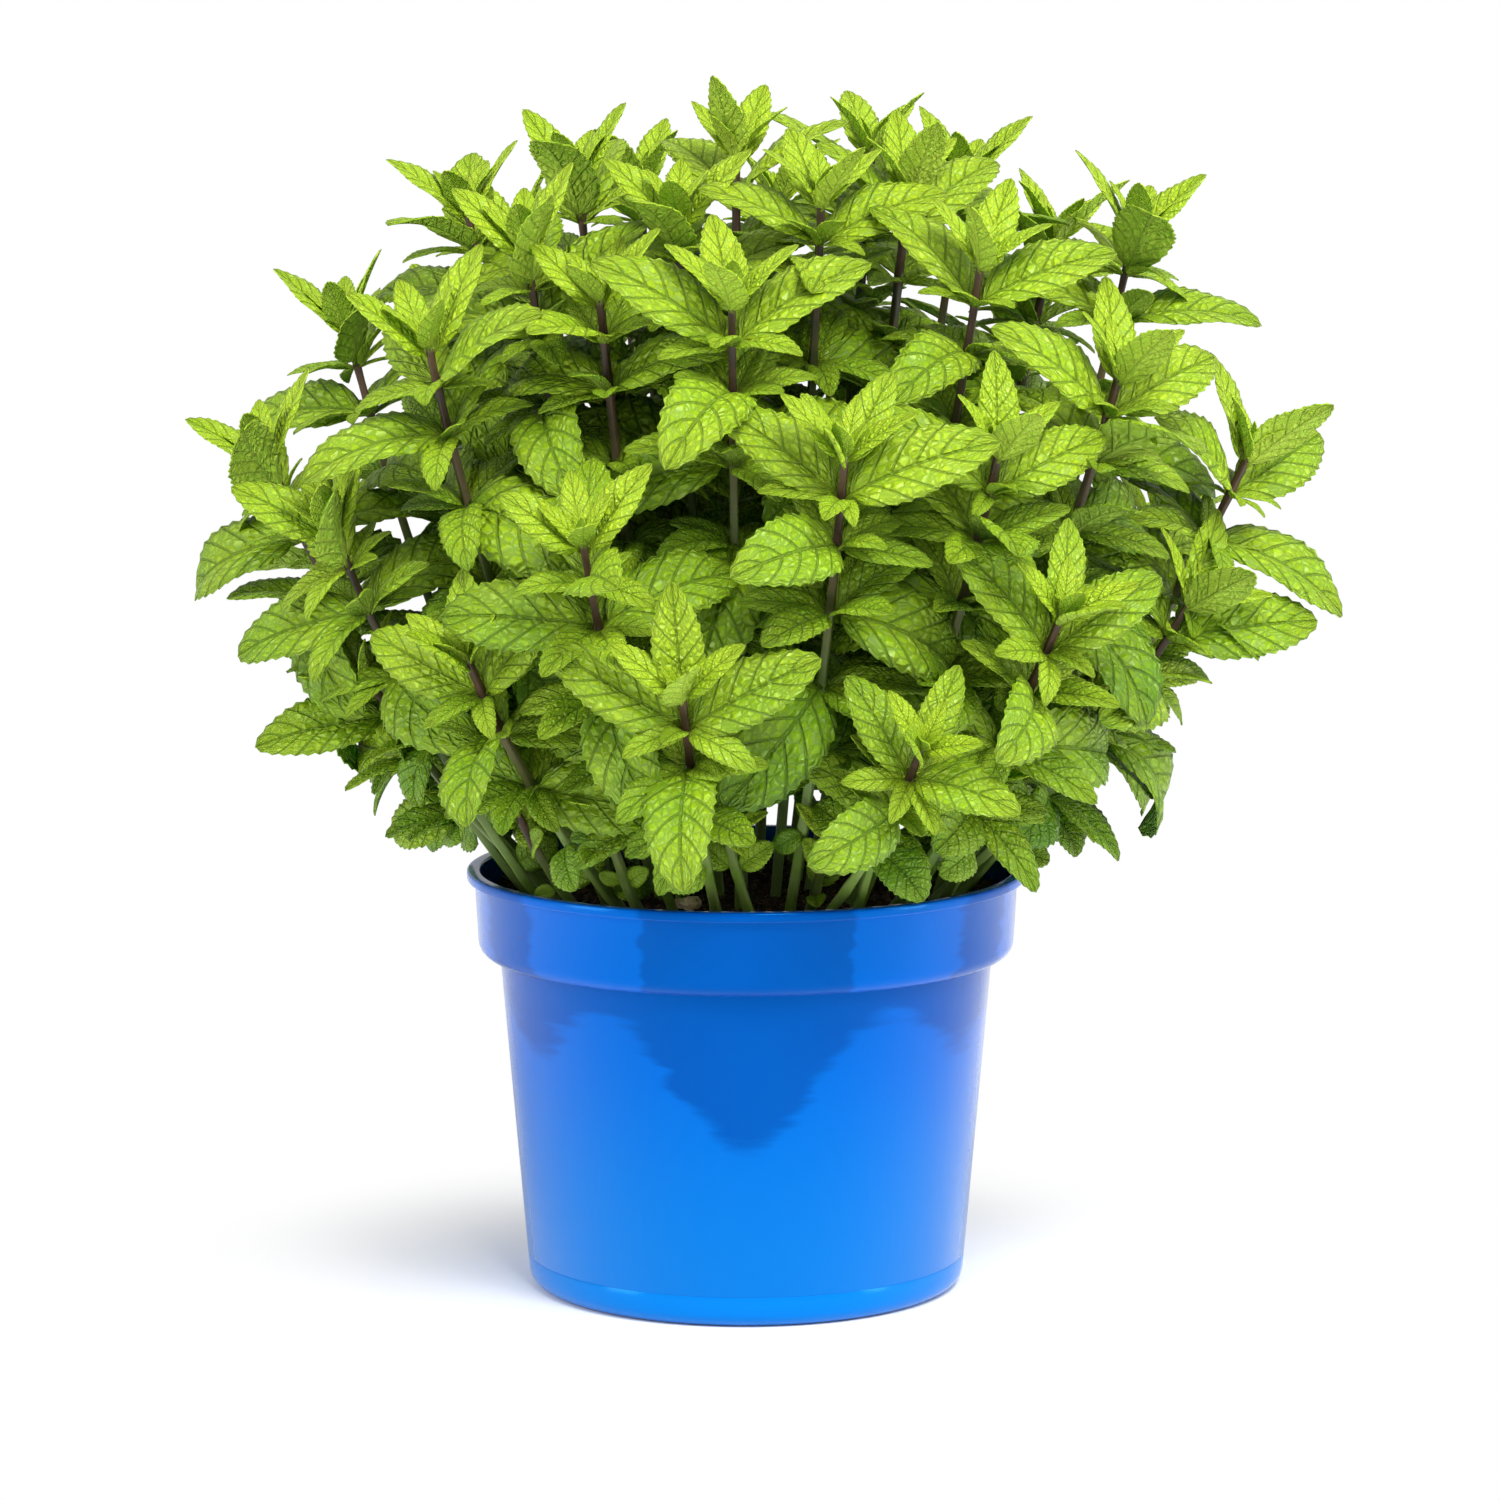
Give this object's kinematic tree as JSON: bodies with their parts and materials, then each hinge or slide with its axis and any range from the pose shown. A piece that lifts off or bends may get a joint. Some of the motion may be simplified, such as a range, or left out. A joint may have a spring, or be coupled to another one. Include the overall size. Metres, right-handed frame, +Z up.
{
  "type": "potted mint plant",
  "caption": "Round tapered plastic growing pot with a wide collar and flared lip, filled with potting mix and planted with a dense dome of leafy mint shoots.",
  "frame": {"origin": "centre of the pot's flat underside", "axes": "+Z up along the pot's axis, -Y toward the side the plant is seen from, +X to the right from there"},
  "size_m": [0.3553, 0.3226, 0.3653],
  "materials": {
    "pot_plastic": "gloss",
    "potting_mix": "matte",
    "pale_stone": "matte",
    "mint_leaf": "satin",
    "mint_stem": "satin"
  },
  "bodies": {
    "root": {"back_shoot_1": "mint_leaf", "back_shoot_2": "mint_leaf", "back_shoot_3": "mint_leaf", "back_shoot_4": "mint_leaf", "back_shoot_5": "mint_leaf", "back_shoot_6": "mint_leaf", "back_shoot_7": "mint_leaf", "back_shoot_8": "mint_leaf", "crown_shoot_1": "mint_leaf", "crown_shoot_10": "mint_leaf", "crown_shoot_11": "mint_leaf", "crown_shoot_12": "mint_leaf", "crown_shoot_2": "mint_leaf", "crown_shoot_3": "mint_leaf", "crown_shoot_4": "mint_leaf", "crown_shoot_5": "mint_leaf", "crown_shoot_6": "mint_leaf", "crown_shoot_7": "mint_leaf", "crown_shoot_8": "mint_leaf", "crown_shoot_9": "mint_leaf", "front_shoot_1": "mint_leaf", "front_shoot_10": "mint_leaf", "front_shoot_11": "mint_leaf", "front_shoot_12": "mint_leaf", "front_shoot_2": "mint_leaf", "front_shoot_3": "mint_leaf", "front_shoot_4": "mint_leaf", "front_shoot_5": "mint_leaf", "front_shoot_6": "mint_leaf", "front_shoot_7": "mint_leaf", "front_shoot_8": "mint_leaf", "front_shoot_9": "mint_leaf", "low_sprig_1": "mint_leaf", "low_sprig_10": "mint_leaf", "low_sprig_2": "mint_leaf", "low_sprig_3": "mint_leaf", "low_sprig_4": "mint_leaf", "low_sprig_5": "mint_leaf", "low_sprig_6": "mint_leaf", "low_sprig_7": "mint_leaf", "low_sprig_8": "mint_leaf", "low_sprig_9": "mint_leaf", "pale_stone": "pale_stone", "pot": "pot_plastic", "potting_mix": "potting_mix", "side_shoot_1": "mint_leaf", "side_shoot_10": "mint_leaf", "side_shoot_11": "mint_leaf", "side_shoot_12": "mint_leaf", "side_shoot_2": "mint_leaf", "side_shoot_3": "mint_leaf", "side_shoot_4": "mint_leaf", "side_shoot_5": "mint_leaf", "side_shoot_6": "mint_leaf", "side_shoot_7": "mint_leaf", "side_shoot_8": "mint_leaf", "side_shoot_9": "mint_leaf"}
  },
  "joints": []
}
